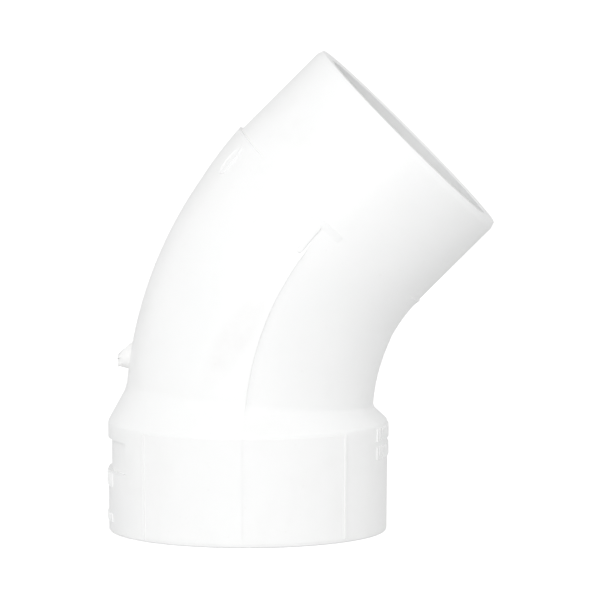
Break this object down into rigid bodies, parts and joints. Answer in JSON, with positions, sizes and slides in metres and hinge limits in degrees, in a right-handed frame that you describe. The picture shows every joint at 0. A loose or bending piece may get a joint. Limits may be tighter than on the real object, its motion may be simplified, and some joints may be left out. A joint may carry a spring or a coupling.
{
  "type": "street elbow pipe fitting",
  "caption": "White plastic street elbow that turns a drain pipe by an eighth of a circle, with a solvent-weld socket at one end and a plain spigot at the other.",
  "frame": {"origin": "centre of the socket's open rim", "axes": "+Z into the socket along its axis, from the rim to the bend; the bend turns from +Z towards +X; the plane Y = 0 is the mirror plane"},
  "size_m": [0.1403, 0.1022, 0.1739],
  "materials": {
    "pvc_white": "satin moulded surface",
    "pvc_rough": "broken and dull"
  },
  "bodies": {
    "root": {"hub_socket": "pvc_white", "shoulder": "pvc_white", "bend": "pvc_white", "spigot": "pvc_white", "hub_panel_front": "pvc_white", "hub_panel_back": "pvc_white", "mark_row_inner_lower": "pvc_white", "mark_row_inner_upper": "pvc_white", "mark_row_outer_lower": "pvc_white", "mark_row_outer_upper": "pvc_white", "seam_front": "pvc_white", "seam_back": "pvc_white", "side_stop_front": "pvc_white", "side_stop_back": "pvc_white", "outer_boss_front": "pvc_white", "outer_boss_back": "pvc_white", "outer_stop": "pvc_white", "inner_stop": "pvc_white", "mark_row_throat": "pvc_white", "gate_stub": "pvc_rough"}
  },
  "joints": []
}
